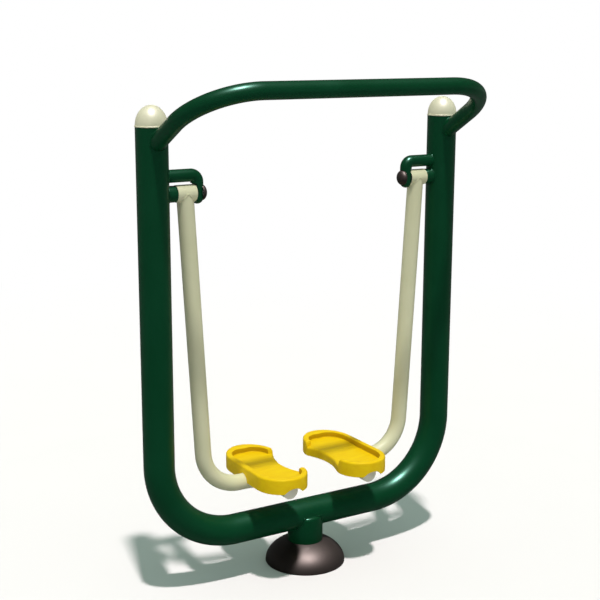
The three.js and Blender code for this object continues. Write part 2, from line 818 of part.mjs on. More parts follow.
function brackets() {
  const low = bracketTop - bracketThickness
  const armRoom = armClearance()
  const holes = pedalBolts.map((bolt) => bossAt(bolt, low - overrun, bracketTop + overrun, bossBore))
  const { inner, outer, toe, heel, waist } = bracketSide
  const large = slab(outline([
    [inner, toe], [inner + waist, toe], [0, -armRadius], [outer, 0], [outer, heel], [inner, heel],
  ]), low, bracketTop)
  large.translate(pedalX, 0, 0)
  placePair('heel_bracket', cut(solid(large), armRoom, ...holes), creamPaint)
  const small = box(
    pedalX + toeBracketSide.inner, pedalX + toeBracketSide.outer, toeBracketSide.toe, toeBracketSide.heel,
    low, bracketTop)
  placePair('toe_bracket', cut(solid(small), armRoom, ...holes), creamPaint)

  const headTop = low - fitGap
  const hexCorner = boltHeadAcross / Math.sqrt(3)
  pedalBolts.forEach((bolt, i) => {
    const at = (height) => point(pedalX + bolt.across, bolt.along, height)
    const head = solid(rod(at(headTop - boltHeadHeight), at(headTop), hexCorner, 6))
    const shankEnd = toeTread - bossSkin - boltEndGap
    const shank = solid(rod(at(headTop - boltHeadHeight / 2), at(shankEnd), boltRadius, smallSides))
    placePair(`pedal_bolt_${i + 1}`, join(head, shank), zincSteel)
  })
}

mainFrame()
postCaps()
handlebar()
base()
stub()
elbow()
axle()
bearings()
nuts()
hub()
arm()
pedal()
brackets()

export default group
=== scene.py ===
import bpy, bmesh, json, math
from mathutils import Matrix, Vector
from mathutils.geometry import delaunay_2d_cdt

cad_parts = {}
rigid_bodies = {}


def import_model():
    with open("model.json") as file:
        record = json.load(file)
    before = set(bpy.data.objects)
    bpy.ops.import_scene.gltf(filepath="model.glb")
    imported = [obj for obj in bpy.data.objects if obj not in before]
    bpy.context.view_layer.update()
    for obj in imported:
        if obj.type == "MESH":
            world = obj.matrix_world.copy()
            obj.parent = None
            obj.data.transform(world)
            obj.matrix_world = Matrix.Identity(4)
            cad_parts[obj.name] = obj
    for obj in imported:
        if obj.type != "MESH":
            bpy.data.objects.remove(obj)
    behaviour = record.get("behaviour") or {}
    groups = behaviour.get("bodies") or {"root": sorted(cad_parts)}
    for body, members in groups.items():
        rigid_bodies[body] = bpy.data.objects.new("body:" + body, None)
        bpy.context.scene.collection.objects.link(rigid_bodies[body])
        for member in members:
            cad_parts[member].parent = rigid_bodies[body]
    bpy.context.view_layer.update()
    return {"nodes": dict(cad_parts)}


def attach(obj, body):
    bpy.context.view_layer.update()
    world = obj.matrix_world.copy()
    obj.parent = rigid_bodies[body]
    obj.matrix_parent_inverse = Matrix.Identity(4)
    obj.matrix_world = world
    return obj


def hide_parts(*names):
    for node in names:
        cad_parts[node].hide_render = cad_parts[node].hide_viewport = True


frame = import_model()
mm = 0.001
print("frame loaded:", len(frame["nodes"]), "nodes")


# plain values and outputs of other nodes into the sockets of a node, by name or number
def fill(tree, node, values=(), feeds=()):
    for name, value in dict(values).items():
        node.inputs[name].default_value = value
    for name, source in dict(feeds).items():
        tree.links.new(source, node.inputs[name])


def addNode(tree, kind, values=(), feeds=(), **settings):
    node = tree.nodes.new(kind)
    for name, value in settings.items():
        setattr(node, name, value)
    fill(tree, node, values, feeds)
    return node


# a sum inside a tree, of sockets or plain numbers
def maths(tree, operation, *terms):
    node = addNode(tree, "ShaderNodeMath", operation=operation)
    for socket, term in zip(node.inputs, terms):
        if isinstance(term, (int, float)):
            socket.default_value = term
        else:
            tree.links.new(term, socket)
    return node.outputs[0]


# of every finish: where the noise turns from one tone or gloss to the other, and its fineness and depth
skin = {"toneStops": (0.32, 0.7), "glossStops": (0.3, 0.7), "patchDetail": 4, "peelDetail": 2, "peelStrength": 0.35}


# a coat or a moulded skin; colours: the even tone and the one it drifts to; corners: the colour of painted shade,
# laid where the mesh's corner attribute asks for it
def paint(name, colours, roughness, patchScale=9.0, peelScale=900.0, peelDepth=0.00004,
          specular=0.5, tint=(1, 1, 1), metallic=0.0, spread=0.06, streaks=None, corners=None):
    mat = bpy.data.materials.new(name)
    mat.use_nodes = True
    tree = mat.node_tree
    where = drawn = tree.nodes.new("ShaderNodeTexCoord").outputs["Object"]
    if streaks:                                        # the drift is drawn out along one way
        drawn = addNode(tree, "ShaderNodeMapping", {"Scale": streaks}, {"Vector": where}).outputs["Vector"]
    patches = addNode(tree, "ShaderNodeTexNoise", {"Scale": patchScale, "Detail": skin["patchDetail"]},
                      {"Vector": drawn})
    drift = patches.outputs["Fac"]
    ramp = addNode(tree, "ShaderNodeValToRGB", feeds={"Fac": drift})
    for stop, position, tone in zip(ramp.color_ramp.elements, skin["toneStops"], colours):
        stop.position = position
        stop.color = (*tone, 1)
    colour = ramp.outputs["Color"]
    if corners:                                        # painted shade: a darker tone where the mesh's corner attribute marks shade
        shadeMark = addNode(tree, "ShaderNodeAttribute", attribute_name="corner")
        paintedShade = addNode(tree, "ShaderNodeMix", {"B": (*corners, 1)},
                       {"Factor": shadeMark.outputs["Fac"], "A": colour}, data_type="RGBA")
        colour = paintedShade.outputs["Result"]
    gloss = addNode(tree, "ShaderNodeMapRange", {
        "From Min": skin["glossStops"][0], "From Max": skin["glossStops"][1],
        "To Min": roughness - spread / 2, "To Max": roughness + spread / 2}, {"Value": drift})
    peel = addNode(tree, "ShaderNodeTexNoise", {"Scale": peelScale, "Detail": skin["peelDetail"]},
                   {"Vector": where})
    bump = addNode(tree, "ShaderNodeBump", {"Strength": skin["peelStrength"], "Distance": peelDepth},
                   {"Height": peel.outputs["Fac"]})
    fill(tree, tree.nodes["Principled BSDF"], {
        "Metallic": metallic, "Specular IOR Level": specular, "Specular Tint": (*tint, 1)}, {
        "Base Color": colour, "Roughness": gloss.outputs["Result"], "Normal": bump.outputs["Normal"]})
    return mat


greenCoat = paint("greenPowderCoat", [(0.0001, 0.050, 0.0140), (0.0002, 0.057, 0.0170)], 0.33,
                  peelScale=520, peelDepth=0.00003, specular=0.39, tint=(0.38, 1, 0.80))
creamCoat = paint("creamPowderCoat", [(0.79, 0.79, 0.51), (0.83, 0.83, 0.56)], 0.40,
                  peelScale=520, peelDepth=0.00003, specular=0.6)
creamPlastic = paint("creamGlossPlastic", [(0.80, 0.79, 0.55), (0.84, 0.83, 0.59)], 0.46,
                     peelScale=260, peelDepth=0.00003, specular=0.9)
# its corners colour is painted shade for the inner wall of the pedal's rim, under the lip
yellowPlastic = paint("yellowMouldedPlastic", [(0.92, 0.61, 0.002), (0.97, 0.69, 0.005)], 0.48,
                      patchScale=70, streaks=(0.3, 1.0, 1.0), peelScale=1100, peelDepth=0.00008,
                      specular=0.15, corners=(0.53, 0.33, 0.002))
darkPlastic = paint("blackBrownPlastic", [(0.0085, 0.0062, 0.0046), (0.0120, 0.0088, 0.0066)], 0.54,
                    peelScale=420, peelDepth=0.00003, specular=0.67, tint=(1, 0.92, 0.87))
greyPlastic = paint("lightGreyPlastic", [(0.93, 0.92, 0.76), (0.97, 0.96, 0.80)], 0.5,
                    peelScale=900, peelDepth=0.00005, specular=0.9)
zincSteel = paint("zincPlatedSteel", [(0.50, 0.52, 0.53), (0.62, 0.64, 0.64)], 0.38,
                  patchScale=60, peelScale=1500, metallic=0.7, spread=0.16)
bearingSteel = paint("groundBearingSteel", [(0.44, 0.45, 0.46), (0.52, 0.53, 0.54)], 0.24,
                     patchScale=40, peelScale=1800, metallic=0.8, spread=0.08)
print("finishes made")


def finishMesh(mesh, sharpAngle=38):
    bm = bmesh.new()
    bm.from_mesh(mesh)
    bmesh.ops.remove_doubles(bm, verts=bm.verts, dist=1e-7)
    bmesh.ops.dissolve_degenerate(bm, edges=bm.edges, dist=1e-8)
    if bm.calc_volume(signed=True) < 0:
        bmesh.ops.reverse_faces(bm, faces=bm.faces)
    bm.to_mesh(mesh)
    bm.free()
    mesh.shade_smooth()
    mesh.set_sharp_from_angle(angle=math.radians(sharpAngle))
    return mesh


def meshOf(name, verts, faces, edges=()):
    mesh = bpy.data.meshes.new(name)
    mesh.from_pydata([tuple(v) for v in verts], list(edges), faces)
    return mesh


def place(name, data):
    obj = bpy.data.objects.new(name, data)
    bpy.context.scene.collection.objects.link(obj)
    return obj


# puts a finished mesh in the scene and on its body
def show(name, mesh, material, body, slot, *stands):
    if material:
        mesh.materials.clear()
        mesh.materials.append(material)
    obj = place(name, mesh)
    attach(obj, body)
    if stands:
        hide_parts(*stands)


# the right-hand piece and its mirror image on the left
def showPair(name, mesh, material, slot, stands, moving):
    left = mesh.copy()
    left.name = "left_" + name
    left.transform(Matrix.Scale(-1, 4, (1, 0, 0)))
    left.flip_normals()
    for side, form in (("right", mesh), ("left", left)):
        body = side + "_arm" if moving else "frame"
        show(f"{side}_{name}", form, material, body, slot, *[f"{side}_{s}" for s in stands])


# profile: (radius, height) in mm, closed loop or from pole to pole, turned about Z
def lathe(name, profile, sides, where=Matrix.Identity(4), sharpAngle=38):
    verts, faces, rings = [], [], []
    for radius, height in profile:
        if radius < 1e-6:
            rings.append([len(verts)])
            verts.append(Vector((0, 0, height * mm)))
        else:
            rings.append(list(range(len(verts), len(verts) + sides)))
            for i in range(sides):
                a = 2 * math.pi * i / sides
                verts.append(Vector((radius * mm * math.cos(a), radius * mm * math.sin(a), height * mm)))
    pairs = list(zip(rings, rings[1:]))
    if len(rings[0]) > 1 or len(rings[-1]) > 1:
        pairs.append((rings[-1], rings[0]))
    for low, high in pairs:
        for i in range(sides):
            j = (i + 1) % sides
            quad = [low[i % len(low)], low[j % len(low)], high[j % len(high)], high[i % len(high)]]
            quad = [q for k, q in enumerate(quad) if q not in quad[:k]]
            if len(quad) > 2:
                faces.append(quad)
    return finishMesh(meshOf(name, [where @ v for v in verts], faces), sharpAngle)


# points of an arc in a profile, angles in degrees; up: its half height where it is an ellipse
def arc(centre, radius, start, end, steps, up=None):
    angles = [math.radians(start + (end - start) * k / steps) for k in range(steps + 1)]
    return [(centre[0] + radius * math.cos(a), centre[1] + (up or radius) * math.sin(a)) for a in angles]


# the rounded outer corner at the foot of a lathe's profile, and the one at its top
def footRound(radius, height, ease, steps):
    return arc((radius - ease, height + ease), ease, -90, 0, steps)


def topRound(radius, height, ease, steps):
    return arc((radius - ease, height - ease), ease, 0, 90, steps)


# the centre line of a bent tube, in metres, from corners in mm
def bentPath(corners, bends, perBend, runLength=25):
    corners = [Vector(c) for c in corners]
    points = [corners[0]]
    for i in range(1, len(corners) - 1):
        arriving = (corners[i] - corners[i - 1]).normalized()
        leaving = (corners[i + 1] - corners[i]).normalized()
        turn = arriving.angle(leaving)
        radius = bends[i - 1]
        start = corners[i] - arriving * radius * math.tan(turn / 2)
        inward = (leaving - arriving * leaving.dot(arriving)).normalized()
        for k in range(perBend + 1):
            a = turn * k / perBend
            points.append(start + arriving * radius * math.sin(a) + inward * radius * (1 - math.cos(a)))
    points.append(corners[-1])
    line = [points[0]]
    for one, two in zip(points, points[1:]):           # long straight runs get rings of their own
        pieces = math.ceil((two - one).length / runLength)
        line += [one.lerp(two, k / pieces) for k in range(1, pieces + 1)]
    return [p * mm for p in line]


def newTree(name, sizes):
    tree = bpy.data.node_groups.new(name, "GeometryNodeTree")
    tree.is_modifier = True
    tree.interface.new_socket("Geometry", in_out="OUTPUT", socket_type="NodeSocketGeometry")
    tree.interface.new_socket("Geometry", in_out="INPUT", socket_type="NodeSocketGeometry")
    kinds = {"float": "NodeSocketFloat", "int": "NodeSocketInt", "material": "NodeSocketMaterial"}
    for label, kind in sizes.items():
        tree.interface.new_socket(label, in_out="INPUT", socket_type=kinds[kind])
    return tree, tree.nodes.new("NodeGroupInput").outputs


# what every tree ends in: smooth faces, real geometry, its finish
def closeTree(tree, size, geometry):
    smooth = addNode(tree, "GeometryNodeSetShadeSmooth", feeds={"Geometry": geometry})
    real = addNode(tree, "GeometryNodeRealizeInstances", feeds={"Geometry": smooth.outputs["Geometry"]})
    coat = addNode(tree, "GeometryNodeSetMaterial", feeds={
        "Geometry": real.outputs["Geometry"], "Material": size["Finish"]})
    addNode(tree, "NodeGroupOutput", feeds={"Geometry": coat.outputs["Geometry"]})
    return tree


# runs a carrier mesh through a tree and gives the plain mesh back
def throughTree(name, tree, carrier, values, sharpAngle=38):
    obj = place(name, carrier)
    modifier = obj.modifiers.new("nodes", "NODES")
    modifier.node_group = tree
    for item in tree.interface.items_tree:
        if item.in_out == "INPUT" and item.name in values:
            modifier[item.identifier] = values[item.name]
    seen = obj.evaluated_get(bpy.context.evaluated_depsgraph_get())
    mesh = bpy.data.meshes.new_from_object(seen)
    mesh.name = name
    bpy.data.objects.remove(obj)
    return finishMesh(mesh, sharpAngle)


def sweptAlong(tree, line, ring, caps):
    return addNode(tree, "GeometryNodeCurveToMesh", {"Fill Caps": caps},
                   {"Curve": line, "Profile Curve": ring}).outputs["Mesh"]


def tubeTree():
    tree, size = newTree("tubeAlongPath", {"Radius": "float", "Sides": "int", "Finish": "material"})
    line = addNode(tree, "GeometryNodeMeshToCurve", feeds={"Mesh": size["Geometry"]})
    ring = addNode(tree, "GeometryNodeCurvePrimitiveCircle", feeds={
        "Radius": size["Radius"], "Resolution": size["Sides"]})
    return closeTree(tree, size, sweptAlong(tree, line.outputs["Curve"], ring.outputs["Curve"], True))


# rings: of the sweep within one drop; waist: share of the radius between two drops
bead = {"rings": 5, "sides": 10, "waist": 0.92, "grain": 160, "roughness": 0.35}


# a weld bead: a thin sweep whose thickness swells once for each drop of weld
def beadTree():
    tree, size = newTree("weldBead", {
        "Radius": "float", "Drop Pitch": "float", "Drop Height": "float", "Seed": "float",
        "Finish": "material"})
    line = addNode(tree, "GeometryNodeMeshToCurve", feeds={"Mesh": size["Geometry"]})
    pitch = maths(tree, "DIVIDE", size["Drop Pitch"], bead["rings"])
    even = addNode(tree, "GeometryNodeResampleCurve", feeds={"Curve": line.outputs["Curve"], "Length": pitch},
                   mode="LENGTH")
    along = addNode(tree, "GeometryNodeSplineParameter").outputs["Length"]
    turn = maths(tree, "DIVIDE", maths(tree, "MULTIPLY", along, math.pi), size["Drop Pitch"])
    wave = maths(tree, "ABSOLUTE", maths(tree, "SINE", turn))
    spot = addNode(tree, "GeometryNodeInputPosition").outputs["Position"]
    grain = addNode(tree, "ShaderNodeTexNoise", {"Scale": bead["grain"]}, {"Vector": spot, "W": size["Seed"]},
                    noise_dimensions="4D")
    height = maths(tree, "MULTIPLY", wave, size["Drop Height"])
    rough = maths(tree, "MULTIPLY", maths(tree, "SUBTRACT", grain.outputs[0], 0.5), bead["roughness"])
    radius = maths(tree, "ADD", maths(tree, "ADD", height, rough), bead["waist"])
    swell = addNode(tree, "GeometryNodeSetCurveRadius", feeds={"Curve": even.outputs["Curve"], "Radius": radius})
    ring = addNode(tree, "GeometryNodeCurvePrimitiveCircle", {"Resolution": bead["sides"]},
                   {"Radius": size["Radius"]})
    return closeTree(tree, size, sweptAlong(tree, swell.outputs["Curve"], ring.outputs["Curve"], False))


# hexagon head with a chamfer, flange under it and shank, on every point of the carrier
def boltTree():
    tree, size = newTree("boltAtPoint", {
        "Head Radius": "float", "Head Height": "float", "Flange Radius": "float",
        "Flange Height": "float", "Shank Radius": "float", "Shank Length": "float",
        "Finish": "material"})

    def times(value, factor):
        return maths(tree, "MULTIPLY", value, factor)

    def disc(sides, radius, depth, lift=None, taper=None):
        cone = addNode(tree, "GeometryNodeMeshCone", {"Vertices": sides}, {
            "Radius Bottom": radius, "Radius Top": taper or radius, "Depth": depth})
        if not lift:
            return cone.outputs["Mesh"]
        shift = addNode(tree, "ShaderNodeCombineXYZ", feeds={"Z": lift})
        return addNode(tree, "GeometryNodeTransform", feeds={
            "Geometry": cone.outputs["Mesh"], "Translation": shift.outputs["Vector"]}).outputs["Geometry"]

    # shares of the head: the chamfer's height, and its radius at both ends
    chamfer, narrow, wide = 0.16, 0.8, 0.86
    head, minusHead = size["Head Height"], times(size["Head Height"], -1)
    parts = addNode(tree, "GeometryNodeJoinGeometry")
    for piece in (
            disc(6, size["Head Radius"], head, minusHead),
            disc(32, times(size["Head Radius"], narrow), times(head, chamfer),
                 maths(tree, "ADD", minusHead, times(head, -chamfer)), times(size["Head Radius"], wide)),
            disc(32, size["Flange Radius"], size["Flange Height"], times(size["Flange Height"], -1)),
            disc(20, size["Shank Radius"], size["Shank Length"])):
        tree.links.new(piece, parts.inputs[0])
    onPoints = addNode(tree, "GeometryNodeInstanceOnPoints", feeds={
        "Points": size["Geometry"], "Instance": parts.outputs["Geometry"]})
    return closeTree(tree, size, onPoints.outputs["Instances"])


# a flat bar that stands on edge along every line of the carrier
def ribTree():
    tree, size = newTree("ribAlongLine", {"Thickness": "float", "Depth": "float", "Finish": "material"})
    line = addNode(tree, "GeometryNodeMeshToCurve", feeds={"Mesh": size["Geometry"]})
    upright = addNode(tree, "GeometryNodeSetCurveNormal", feeds={"Curve": line.outputs["Curve"]}, mode="Z_UP")
    bar = addNode(tree, "GeometryNodeCurvePrimitiveQuadrilateral", feeds={
        "Width": size["Thickness"], "Height": size["Depth"]})
    return closeTree(tree, size, sweptAlong(tree, upright.outputs["Curve"], bar.outputs["Curve"], True))


tubes, beads, bolts, ribs = tubeTree(), beadTree(), boltTree(), ribTree()


def tube(name, corners, bends, radius, material, sides, perBend):
    line = bentPath(corners, bends, perBend)
    carrier = meshOf(name, line, [], [(i, i + 1) for i in range(len(line) - 1)])
    return throughTree(name, tubes, carrier, {"Radius": radius * mm, "Sides": sides, "Finish": material})


# a round bar along a line in the plane of X and Z, closed flat at its start and on a point at its end
def flatSweep(name, line, radii, endPoint, sides):
    verts, faces, rings = [line[0]], [], []
    across = Vector((0, 1, 0))
    for i, (at, radius) in enumerate(zip(line, radii)):
        along = (line[min(i + 1, len(line) - 1)] - line[max(i - 1, 0)]).normalized()
        other = along.cross(across)
        rings.append([len(verts) + k for k in range(sides)])
        for k in range(sides):
            t = 2 * math.pi * k / sides
            verts.append(at + (across * math.cos(t) + other * math.sin(t)) * radius * mm)
    verts.append(endPoint)
    for i in range(sides):
        j = (i + 1) % sides
        faces.append((0, rings[0][j], rings[0][i]))
        faces.append((len(verts) - 1, rings[-1][i], rings[-1][j]))
        faces += [(low[i], low[j], high[j], high[i]) for low, high in zip(rings, rings[1:])]
    return finishMesh(meshOf(name, verts, faces))


# a mesh with each of the tools cut out of it
def cutBy(mesh, *tools):
    obj = place("cutting", mesh)
    others = [place("tool", form) for form in tools]
    for other in others:
        modifier = obj.modifiers.new("cut", "BOOLEAN")
        modifier.operation = "DIFFERENCE"
        modifier.solver = "EXACT"
        modifier.object = other
    seen = obj.evaluated_get(bpy.context.evaluated_depsgraph_get())
    result = bpy.data.meshes.new_from_object(seen)
    result.name = mesh.name
    for item in (obj, *others):
        bpy.data.objects.remove(item)
    return finishMesh(result, 30)


# two plain tools to cut with
def block(low, high):
    corners = [(x, y, z) for z in (low[2], high[2]) for y in (low[1], high[1]) for x in (low[0], high[0])]
    faces = [(0, 2, 3, 1), (4, 5, 7, 6), (0, 1, 5, 4), (1, 3, 7, 5), (3, 2, 6, 7), (2, 0, 4, 6)]
    return meshOf("block", [Vector(c) * mm for c in corners], faces)


def drum(radius, low, high, sides, where):
    return lathe("drum", [(0, low), (radius, low), (radius, high), (0, high)], sides, where)


# turns a lathe about Z into one on the right-hand axle, heights running along +X
def onAxle(x):
    return Matrix.Translation(Vector((x, 0, pivot["height"])) * mm) @ Matrix.Rotation(math.pi / 2, 4, "Y")


mainFrame = {"radius": 44.5, "uprightX": 486, "top": 1350, "beam": 153.5, "bend": 240}
uprightX, beam = mainFrame["uprightX"], mainFrame["beam"]
show("main_tube", tube("main_tube", [
    (-uprightX, 0, mainFrame["top"]), (-uprightX, 0, beam), (uprightX, 0, beam), (uprightX, 0, mainFrame["top"])],
    [mainFrame["bend"]] * 2, mainFrame["radius"], greenCoat, 80, 64),
    None, "frame", "green_paint", "main_frame_tube")

handle = {"radius": 24, "root": 1291, "reach": 284, "top": 1453, "corner": 475, "bend": 181, "sunk": 6}
root = Vector((uprightX, 0, handle["root"]))
corner = Vector((handle["corner"], -handle["reach"], handle["top"]))
rise = (corner - root).normalized()
bury = root + rise * (mainFrame["radius"] - handle["sunk"])    # the ends sit inside the uprights
show("grab_bar", tube("grab_bar", [
    (-bury.x, bury.y, bury.z), (-corner.x, corner.y, corner.z), corner, bury],
    [handle["bend"]] * 2, handle["radius"], greenCoat, 64, 56),
    None, "frame", "green_paint", "handlebar")
print("tubes bent")

postCap = {"rim": 45.5, "rimHeight": 4, "dome": 44, "domeHeight": 54, "seat": 1350.3, "wall": 3,
           "footRound": 0.8, "topRound": 1.3, "groove": 0.2, "grooveDepth": 0.5}
rimTop = postCap["seat"] + postCap["rimHeight"]
inside = postCap["dome"] - postCap["wall"]
neck = postCap["dome"] - postCap["groove"]             # a groove runs round under the dome
capProfile = [(0, rimTop + postCap["domeHeight"] - postCap["wall"]), (inside, rimTop), (inside, postCap["seat"])]
capProfile += footRound(postCap["rim"], postCap["seat"], postCap["footRound"], 3)
capProfile += topRound(postCap["rim"], rimTop, postCap["topRound"], 5)
capProfile += [(neck, rimTop - postCap["grooveDepth"]), (neck, rimTop)]
capProfile += arc((0, rimTop), postCap["dome"], 0, 90, 24, postCap["domeHeight"])
capMesh = lathe("post_cap", capProfile, 72, Matrix.Translation((uprightX * mm, 0, 0)), 50)
showPair("domed_cap", capMesh, creamPlastic, "cream_plastic", ["post_cap"], False)

# neck: radius of the inside where the post's top lies in the beam
post = {"radius": 54, "foot": 10.3, "bevel": 0.8, "shoulder": 10, "bore": 50,
        "neck": 28, "neckDepth": 30, "boreDepth": 62}
postProfile = [(post["bore"], post["foot"]), (post["radius"] - post["bevel"], post["foot"]),
               (post["radius"], post["foot"] + post["bevel"])]
postProfile += topRound(post["radius"], beam, post["shoulder"], 10)
postProfile += [(post["neck"], beam), (post["neck"], beam - post["neckDepth"]),
                (post["bore"], beam - post["boreDepth"])]
show("centre_post", lathe("centre_post", postProfile, 96, sharpAngle=50), greenCoat,
     "frame", "green_paint", "base_post")

cover = {"radius": 122.5, "height": 77, "wall": 2.5, "lift": 0.5, "collar": 54.3, "edge": 0.5, "lipAngle": 0.6875}
topAngle = math.degrees(math.acos(cover["collar"] / cover["radius"]))
middle = (0, cover["lift"])
coverProfile = arc(middle, cover["radius"] - cover["wall"], topAngle, 0, 24, cover["height"] - cover["wall"])
coverProfile += [(cover["radius"] - cover["edge"], cover["lift"])]
coverProfile += arc(middle, cover["radius"], cover["lipAngle"], topAngle, 40, cover["height"])
show("dome_cover", lathe("dome_cover", coverProfile, 128, sharpAngle=45), darkPlastic,
     "frame", "dark_plastic", "base_dome_cover")
print("base made")

pivot = {"height": 1166, "hubX": 391, "hubLength": 58, "hub": 24, "bore": 21.4, "gap": 1,
         "hubRound": 1.4, "bevel": 0.6, "seatDepth": 14, "shoulder": 19.4,
         "stub": 23, "stubLength": 28, "stubBore": 10.3, "stubRound": 1.2}
half = pivot["hubLength"] / 2
stubProfile = [(pivot["stubBore"], 0)] + footRound(pivot["stub"], 0, pivot["stubRound"], 4)
stubProfile += [(pivot["stub"], pivot["stubLength"]), (pivot["stubBore"], pivot["stubLength"])]
stubMesh = lathe("stub", stubProfile, 64, onAxle(pivot["hubX"] + half + pivot["gap"]))
showPair("stub", stubMesh, greenCoat, "green_paint", ["pivot_stub"], False)

# rise: of the upper run over the axle; root: from the middle of the upright to its start
elbow = {"radius": 18, "rise": 49, "legX": 354, "bend": 19, "tail": 13, "root": 36, "steps": 28,
         "ballSteps": 16, "around": 6, "overHub": 3}
top, tail = pivot["height"] + elbow["rise"], pivot["height"] - elbow["tail"]
elbowLine = bentPath([(uprightX - elbow["root"], 0, top), (elbow["legX"], 0, top), (elbow["legX"], 0, tail)],
                     [elbow["bend"]], elbow["steps"])
elbowRadii = [elbow["radius"]] * len(elbowLine)
for i in range(1, elbow["ballSteps"]):                 # the leg ends in half a ball
    t = math.pi / 2 * i / elbow["ballSteps"]
    elbowLine.append(Vector((elbow["legX"], 0, tail - elbow["radius"] * math.sin(t))) * mm)
    elbowRadii.append(elbow["radius"] * math.cos(t))
endPoint = Vector((elbow["legX"], 0, tail - elbow["radius"])) * mm
elbowMesh = flatSweep("elbow", elbowLine, elbowRadii, endPoint, 64)

nut = {"face": 344, "radius": 23, "height": 17, "rim": 3, "round": 0.7, "step": 0.5, "stepDepth": 0.4,
       "wall": 2, "gap": 0.3, "spot": 1, "spotDepth": 20}
reach = elbow["radius"] + elbow["around"]
hubFace = pivot["hubX"] - half - pivot["gap"]
hubSide = block((hubFace, -reach, tail - reach),
                (elbow["legX"] + reach, reach, pivot["height"] + pivot["hub"] + elbow["overHub"]))
spotFace = drum(nut["radius"] + nut["spot"], -nut["spotDepth"], 0, 64, onAxle(nut["face"]))
showPair("elbow", cutBy(elbowMesh, hubSide, spotFace), greenCoat, "green_paint", ["pivot_elbow"], False)

inside, dome = nut["radius"] - nut["wall"], nut["radius"] - nut["step"]
nutProfile = [(0, nut["height"] - nut["wall"]), (inside, nut["rim"]), (inside, 0)]
nutProfile += footRound(nut["radius"], 0, nut["round"], 3)
nutProfile += [(nut["radius"], nut["rim"] - nut["stepDepth"])]
nutProfile += arc((0, nut["rim"]), dome, 0, 90, 18, nut["height"] - nut["rim"])
capPlace = onAxle(nut["face"] - nut["gap"]) @ Matrix.Rotation(math.pi, 4, "X")
showPair("axle_cap", lathe("axle_cap", nutProfile, 64, capPlace, 45), darkPlastic,
         "dark_plastic", ["nut_cap"], False)

bore, seat = pivot["bore"], half - pivot["seatDepth"]  # the bearings sit in the wider bore at both ends
hubProfile = [(bore, pivot["bevel"] - half), (bore + pivot["bevel"], -half)]
hubProfile += footRound(pivot["hub"], -half, pivot["hubRound"], 5)
hubProfile += topRound(pivot["hub"], half, pivot["hubRound"], 5)
hubProfile += [(bore + pivot["bevel"], half), (bore, half - pivot["bevel"]), (bore, seat),
               (pivot["shoulder"], seat), (pivot["shoulder"], -seat), (bore, -seat)]
showPair("hub", lathe("hub", hubProfile, 72, onAxle(pivot["hubX"])), creamCoat,
         "cream_paint", ["hub_sleeve"], True)
print("pivots made")

arm = {"radius": 24, "footX": 340.5, "foot": 297.5, "outerBend": 115, "innerBend": 72,
       "end": -145, "pedalX": 137.5, "intoHub": 1.2, "cutReach": 60}
plug = {"flange": 3, "gap": 0.1, "face": 18, "round": 1.6, "seam": 0.2, "spigot": 20.7, "depth": 12}
armCorners = [(pivot["hubX"], 0, pivot["height"]), (arm["footX"], 0, arm["foot"]),
              (arm["pedalX"], 0, arm["foot"]),
              (arm["pedalX"], arm["end"] + plug["flange"] + plug["gap"], arm["foot"])]
armMesh = tube("swing_tube", armCorners, [arm["outerBend"], arm["innerBend"]], arm["radius"], creamCoat, 64, 48)
hubRoom = drum(pivot["hub"] - arm["intoHub"], -arm["cutReach"], arm["cutReach"], 72, onAxle(pivot["hubX"]))
showPair("swing_tube", cutBy(armMesh, hubRoom), creamCoat, "cream_paint", ["swing_arm"], True)

plugPlace = Matrix.Translation(Vector((arm["pedalX"], arm["end"], arm["foot"])) * mm) \
    @ Matrix.Rotation(-math.pi / 2, 4, "X")
behind, depth = plug["flange"] - plug["seam"], plug["flange"] + plug["depth"]
plugProfile = [(0, 0), (plug["face"], 0)] + footRound(arm["radius"], 0, plug["round"], 5)
plugProfile += [(arm["radius"], behind), (plug["spigot"], behind), (plug["spigot"], depth), (0, depth)]
showPair("tube_plug", lathe("tube_plug", plugProfile, 64, plugPlace), greyPlastic,
         "grey_plastic", ["arm_end_plug"], True)
print("arms made")


# where a tube meets another surface: distance(point, along) gives how far to go
def ringOnCylinder(start, along, radius, distance, count=180):
    start, along = Vector(start), Vector(along).normalized()
    side = along.cross(Vector((0.3, 0.5, 0.8))).normalized()           # askew to every tube
    other = along.cross(side)
    loop = []
    for i in range(count):
        t = 2 * math.pi * i / count
        at = start + (side * math.cos(t) + other * math.sin(t)) * radius
        loop.append((at + along * distance(at, along)) * mm)
    return loop


# distance along a line to the skin of the right-hand upright, from outside it
def toUpright(at, along):
    x, y = at.x - uprightX, at.y
    qa = along.x ** 2 + along.y ** 2
    qb = 2 * (x * along.x + y * along.y)
    qc = x * x + y * y - mainFrame["radius"] ** 2
    return (-qb - math.sqrt(max(qb * qb - 4 * qa * qc, 0))) / (2 * qa)


# distance to the underside of the hub, for the arm that hangs from it
def toHub(at, along):
    return -(math.sqrt(max(pivot["hub"] ** 2 - at.y ** 2, 0)) + (at.z - pivot["height"])) / along.z


def layBead(name, loops, radius, seed, coat):
    verts, edges = [], []
    for loop in loops:
        first = len(verts)
        verts += loop
        edges += [(first + i, first + (i + 1) % len(loop)) for i in range(len(loop))]
    return throughTree(name, beads, meshOf("lines", verts, [], edges), {
        "Radius": radius * mm, "Drop Pitch": weld["pitch"] * mm, "Drop Height": weld["drop"],
        "Seed": seed, "Finish": coat}, 80)


